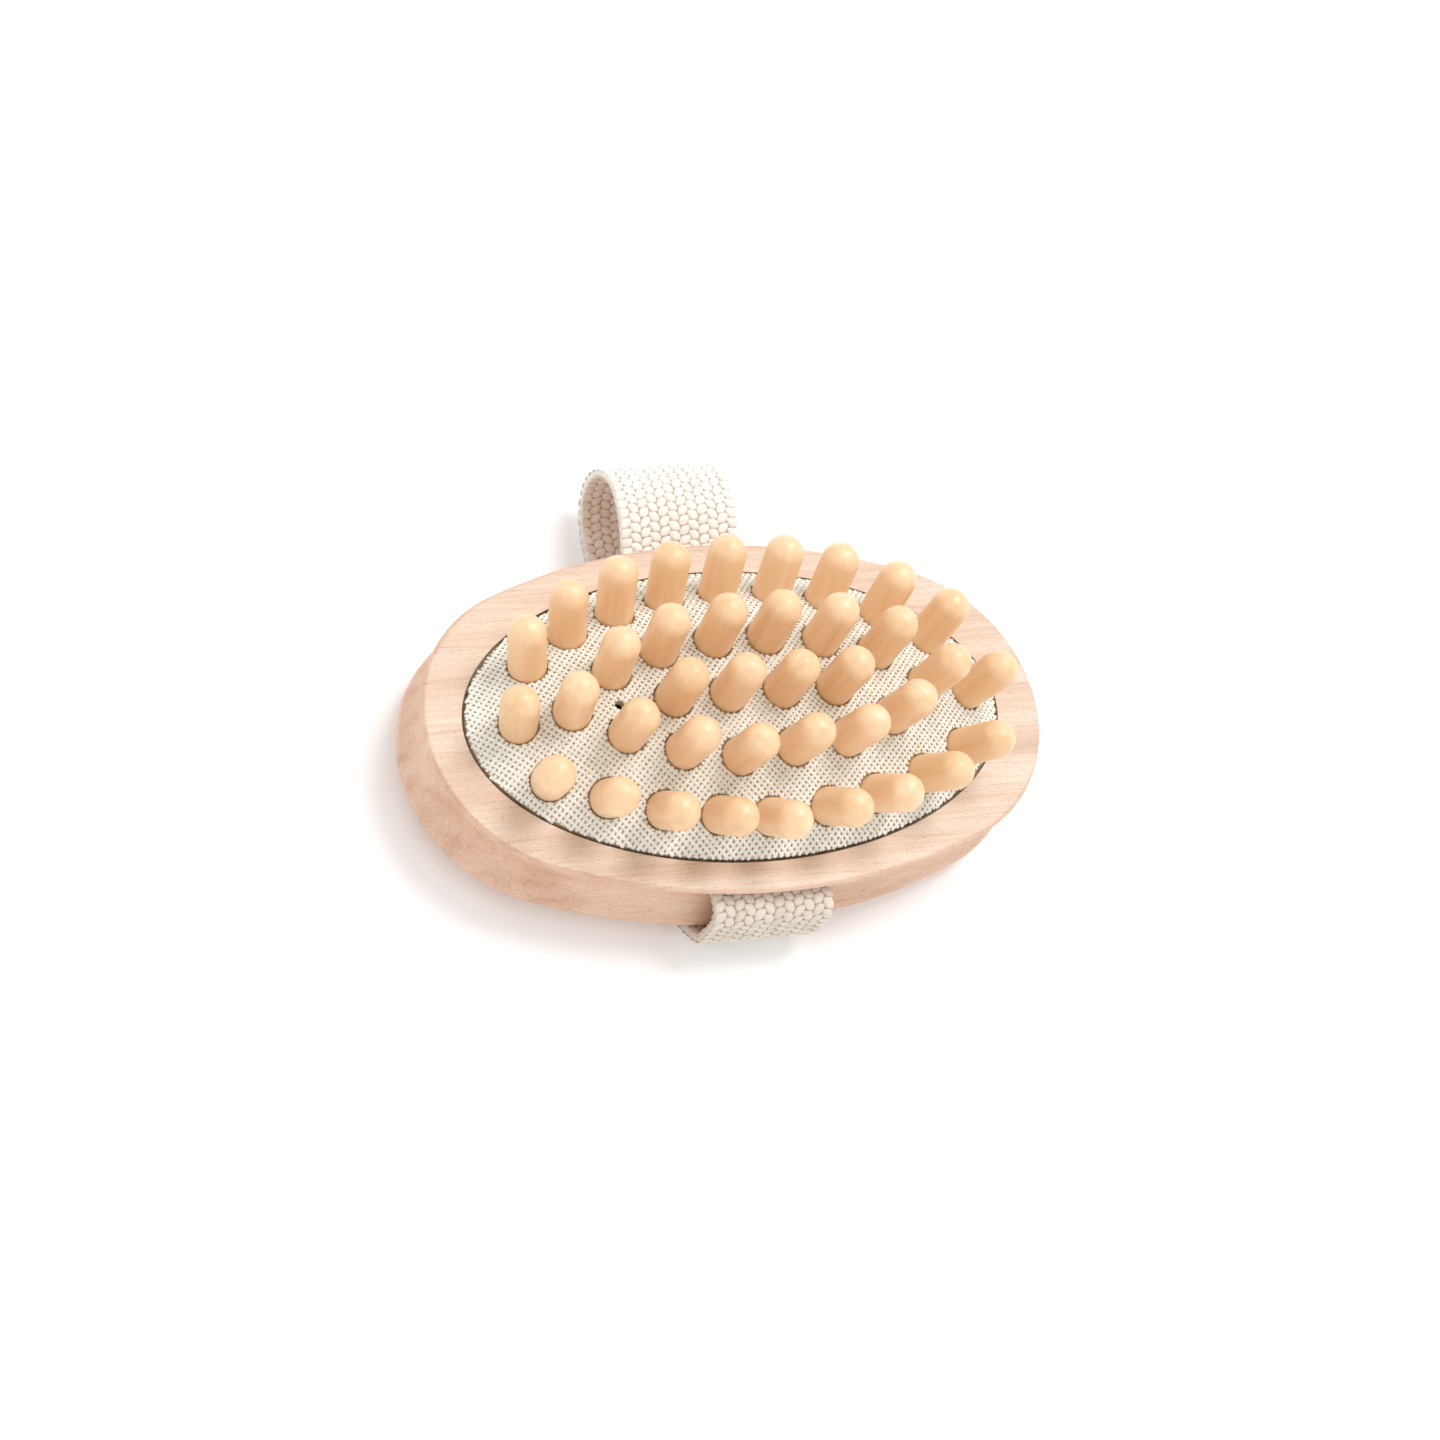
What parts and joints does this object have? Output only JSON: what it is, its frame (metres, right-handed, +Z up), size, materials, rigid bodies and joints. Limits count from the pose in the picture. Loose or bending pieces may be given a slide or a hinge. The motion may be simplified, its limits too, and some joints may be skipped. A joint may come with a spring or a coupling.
{
  "type": "body dry brush",
  "caption": "Oval wooden massage brush with rounded wooden pins in a crowned canvas cushion and a looped webbing hand strap.",
  "frame": {"origin": "on the resting face, the underside of the hand strap, below the centre of the wooden oval", "axes": "+Z up, the way the pins point with the brush on its back; +X along the oval's long axis; +Y across the brush towards the strap's loose loop"},
  "size_m": [0.135, 0.1039, 0.0469],
  "materials": {
    "body_wood": "fine-sanded, matt",
    "pin_wood": "smooth, waxed",
    "canvas": "open plain weave",
    "rubber": "matt",
    "webbing": "coarse cotton webbing",
    "staple_steel": "drawn wire"
  },
  "bodies": {
    "brush": {"wooden_body": "body_wood", "canvas_cover": "canvas", "rubber_cushion": "rubber", "hand_strap": "webbing", "front_staples": "staple_steel", "rear_staples": "staple_steel"},
    "pin_centre_01": {"pin_centre_01": "pin_wood"},
    "pin_centre_02": {"pin_centre_02": "pin_wood"},
    "pin_centre_03": {"pin_centre_03": "pin_wood"},
    "pin_centre_04": {"pin_centre_04": "pin_wood"},
    "pin_inner_01": {"pin_inner_01": "pin_wood"},
    "pin_inner_02": {"pin_inner_02": "pin_wood"},
    "pin_inner_03": {"pin_inner_03": "pin_wood"},
    "pin_inner_04": {"pin_inner_04": "pin_wood"},
    "pin_inner_05": {"pin_inner_05": "pin_wood"},
    "pin_inner_06": {"pin_inner_06": "pin_wood"},
    "pin_inner_07": {"pin_inner_07": "pin_wood"},
    "pin_inner_08": {"pin_inner_08": "pin_wood"},
    "pin_inner_09": {"pin_inner_09": "pin_wood"},
    "pin_inner_10": {"pin_inner_10": "pin_wood"},
    "pin_inner_11": {"pin_inner_11": "pin_wood"},
    "pin_inner_12": {"pin_inner_12": "pin_wood"},
    "pin_inner_13": {"pin_inner_13": "pin_wood"},
    "pin_inner_14": {"pin_inner_14": "pin_wood"},
    "pin_outer_01": {"pin_outer_01": "pin_wood"},
    "pin_outer_02": {"pin_outer_02": "pin_wood"},
    "pin_outer_03": {"pin_outer_03": "pin_wood"},
    "pin_outer_04": {"pin_outer_04": "pin_wood"},
    "pin_outer_05": {"pin_outer_05": "pin_wood"},
    "pin_outer_06": {"pin_outer_06": "pin_wood"},
    "pin_outer_07": {"pin_outer_07": "pin_wood"},
    "pin_outer_08": {"pin_outer_08": "pin_wood"},
    "pin_outer_09": {"pin_outer_09": "pin_wood"},
    "pin_outer_10": {"pin_outer_10": "pin_wood"},
    "pin_outer_11": {"pin_outer_11": "pin_wood"},
    "pin_outer_12": {"pin_outer_12": "pin_wood"},
    "pin_outer_13": {"pin_outer_13": "pin_wood"},
    "pin_outer_14": {"pin_outer_14": "pin_wood"},
    "pin_outer_15": {"pin_outer_15": "pin_wood"},
    "pin_outer_16": {"pin_outer_16": "pin_wood"},
    "pin_outer_17": {"pin_outer_17": "pin_wood"},
    "pin_outer_18": {"pin_outer_18": "pin_wood"},
    "pin_outer_19": {"pin_outer_19": "pin_wood"},
    "pin_outer_20": {"pin_outer_20": "pin_wood"}
  },
  "joints": [
    {"name": "press_centre_01", "type": "slide", "parent": "brush", "child": "pin_centre_01", "axis": [0.0511, 0, -0.9987], "range_m": [0, 0.003], "stiffness_N_per_m": 500},
    {"name": "press_centre_02", "type": "slide", "parent": "brush", "child": "pin_centre_02", "axis": [0.0069, 0, -1], "range_m": [0, 0.003], "stiffness_N_per_m": 500},
    {"name": "press_centre_03", "type": "slide", "parent": "brush", "child": "pin_centre_03", "axis": [-0.0069, 0, -1], "range_m": [0, 0.003], "stiffness_N_per_m": 500},
    {"name": "press_centre_04", "type": "slide", "parent": "brush", "child": "pin_centre_04", "axis": [-0.0511, 0, -0.9987], "range_m": [0, 0.003], "stiffness_N_per_m": 500},
    {"name": "press_inner_01", "type": "slide", "parent": "brush", "child": "pin_inner_01", "axis": [-0.217, -0.0094, -0.9761], "range_m": [0, 0.003], "stiffness_N_per_m": 500},
    {"name": "press_inner_02", "type": "slide", "parent": "brush", "child": "pin_inner_02", "axis": [-0.142, -0.1262, -0.9818], "range_m": [0, 0.003], "stiffness_N_per_m": 500},
    {"name": "press_inner_03", "type": "slide", "parent": "brush", "child": "pin_inner_03", "axis": [-0.0721, -0.1491, -0.9862], "range_m": [0, 0.003], "stiffness_N_per_m": 500},
    {"name": "press_inner_04", "type": "slide", "parent": "brush", "child": "pin_inner_04", "axis": [-0.0207, -0.1472, -0.9889], "range_m": [0, 0.003], "stiffness_N_per_m": 500},
    {"name": "press_inner_05", "type": "slide", "parent": "brush", "child": "pin_inner_05", "axis": [0.0207, -0.1472, -0.9889], "range_m": [0, 0.003], "stiffness_N_per_m": 500},
    {"name": "press_inner_06", "type": "slide", "parent": "brush", "child": "pin_inner_06", "axis": [0.0721, -0.1491, -0.9862], "range_m": [0, 0.003], "stiffness_N_per_m": 500},
    {"name": "press_inner_07", "type": "slide", "parent": "brush", "child": "pin_inner_07", "axis": [0.1331, -0.1144, -0.9845], "range_m": [0, 0.003], "stiffness_N_per_m": 500},
    {"name": "press_inner_08", "type": "slide", "parent": "brush", "child": "pin_inner_08", "axis": [0.2075, 0, -0.9782], "range_m": [0, 0.003], "stiffness_N_per_m": 500},
    {"name": "press_inner_09", "type": "slide", "parent": "brush", "child": "pin_inner_09", "axis": [0.1308, 0.0969, -0.9867], "range_m": [0, 0.003], "stiffness_N_per_m": 500},
    {"name": "press_inner_10", "type": "slide", "parent": "brush", "child": "pin_inner_10", "axis": [0.0721, 0.1491, -0.9862], "range_m": [0, 0.003], "stiffness_N_per_m": 500},
    {"name": "press_inner_11", "type": "slide", "parent": "brush", "child": "pin_inner_11", "axis": [0.0239, 0.1697, -0.9852], "range_m": [0, 0.003], "stiffness_N_per_m": 500},
    {"name": "press_inner_12", "type": "slide", "parent": "brush", "child": "pin_inner_12", "axis": [-0.0207, 0.1472, -0.9889], "range_m": [0, 0.003], "stiffness_N_per_m": 500},
    {"name": "press_inner_13", "type": "slide", "parent": "brush", "child": "pin_inner_13", "axis": [-0.0721, 0.1491, -0.9862], "range_m": [0, 0.003], "stiffness_N_per_m": 500},
    {"name": "press_inner_14", "type": "slide", "parent": "brush", "child": "pin_inner_14", "axis": [-0.1367, 0.102, -0.9854], "range_m": [0, 0.003], "stiffness_N_per_m": 500},
    {"name": "press_outer_01", "type": "slide", "parent": "brush", "child": "pin_outer_01", "axis": [-0.3291, 0, -0.9443], "range_m": [0, 0.003], "stiffness_N_per_m": 500},
    {"name": "press_outer_02", "type": "slide", "parent": "brush", "child": "pin_outer_02", "axis": [-0.2754, -0.2547, -0.927], "range_m": [0, 0.003], "stiffness_N_per_m": 500},
    {"name": "press_outer_03", "type": "slide", "parent": "brush", "child": "pin_outer_03", "axis": [-0.2029, -0.354, -0.913], "range_m": [0, 0.003], "stiffness_N_per_m": 500},
    {"name": "press_outer_04", "type": "slide", "parent": "brush", "child": "pin_outer_04", "axis": [-0.133, -0.4223, -0.8967], "range_m": [0, 0.003], "stiffness_N_per_m": 500},
    {"name": "press_outer_05", "type": "slide", "parent": "brush", "child": "pin_outer_05", "axis": [-0.0666, -0.451, -0.89], "range_m": [0, 0.003], "stiffness_N_per_m": 500},
    {"name": "press_outer_06", "type": "slide", "parent": "brush", "child": "pin_outer_06", "axis": [0, -0.4601, -0.8879], "range_m": [0, 0.003], "stiffness_N_per_m": 500},
    {"name": "press_outer_07", "type": "slide", "parent": "brush", "child": "pin_outer_07", "axis": [0.0666, -0.451, -0.89], "range_m": [0, 0.003], "stiffness_N_per_m": 500},
    {"name": "press_outer_08", "type": "slide", "parent": "brush", "child": "pin_outer_08", "axis": [0.133, -0.4223, -0.8967], "range_m": [0, 0.003], "stiffness_N_per_m": 500},
    {"name": "press_outer_09", "type": "slide", "parent": "brush", "child": "pin_outer_09", "axis": [0.2039, -0.3638, -0.9089], "range_m": [0, 0.003], "stiffness_N_per_m": 500},
    {"name": "press_outer_10", "type": "slide", "parent": "brush", "child": "pin_outer_10", "axis": [0.2754, -0.2547, -0.927], "range_m": [0, 0.003], "stiffness_N_per_m": 500},
    {"name": "press_outer_11", "type": "slide", "parent": "brush", "child": "pin_outer_11", "axis": [0.3132, 0.011, -0.9496], "range_m": [0, 0.003], "stiffness_N_per_m": 500},
    {"name": "press_outer_12", "type": "slide", "parent": "brush", "child": "pin_outer_12", "axis": [0.2861, 0.2762, -0.9175], "range_m": [0, 0.003], "stiffness_N_per_m": 500},
    {"name": "press_outer_13", "type": "slide", "parent": "brush", "child": "pin_outer_13", "axis": [0.2039, 0.3638, -0.9089], "range_m": [0, 0.003], "stiffness_N_per_m": 500},
    {"name": "press_outer_14", "type": "slide", "parent": "brush", "child": "pin_outer_14", "axis": [0.133, 0.4223, -0.8967], "range_m": [0, 0.003], "stiffness_N_per_m": 500},
    {"name": "press_outer_15", "type": "slide", "parent": "brush", "child": "pin_outer_15", "axis": [0.0666, 0.451, -0.89], "range_m": [0, 0.003], "stiffness_N_per_m": 500},
    {"name": "press_outer_16", "type": "slide", "parent": "brush", "child": "pin_outer_16", "axis": [0.0056, 0.4738, -0.8806], "range_m": [0, 0.003], "stiffness_N_per_m": 500},
    {"name": "press_outer_17", "type": "slide", "parent": "brush", "child": "pin_outer_17", "axis": [-0.0666, 0.451, -0.89], "range_m": [0, 0.003], "stiffness_N_per_m": 500},
    {"name": "press_outer_18", "type": "slide", "parent": "brush", "child": "pin_outer_18", "axis": [-0.133, 0.4223, -0.8967], "range_m": [0, 0.003], "stiffness_N_per_m": 500},
    {"name": "press_outer_19", "type": "slide", "parent": "brush", "child": "pin_outer_19", "axis": [-0.2117, 0.3671, -0.9058], "range_m": [0, 0.003], "stiffness_N_per_m": 500},
    {"name": "press_outer_20", "type": "slide", "parent": "brush", "child": "pin_outer_20", "axis": [-0.2948, 0.2697, -0.9167], "range_m": [0, 0.003], "stiffness_N_per_m": 500}
  ]
}
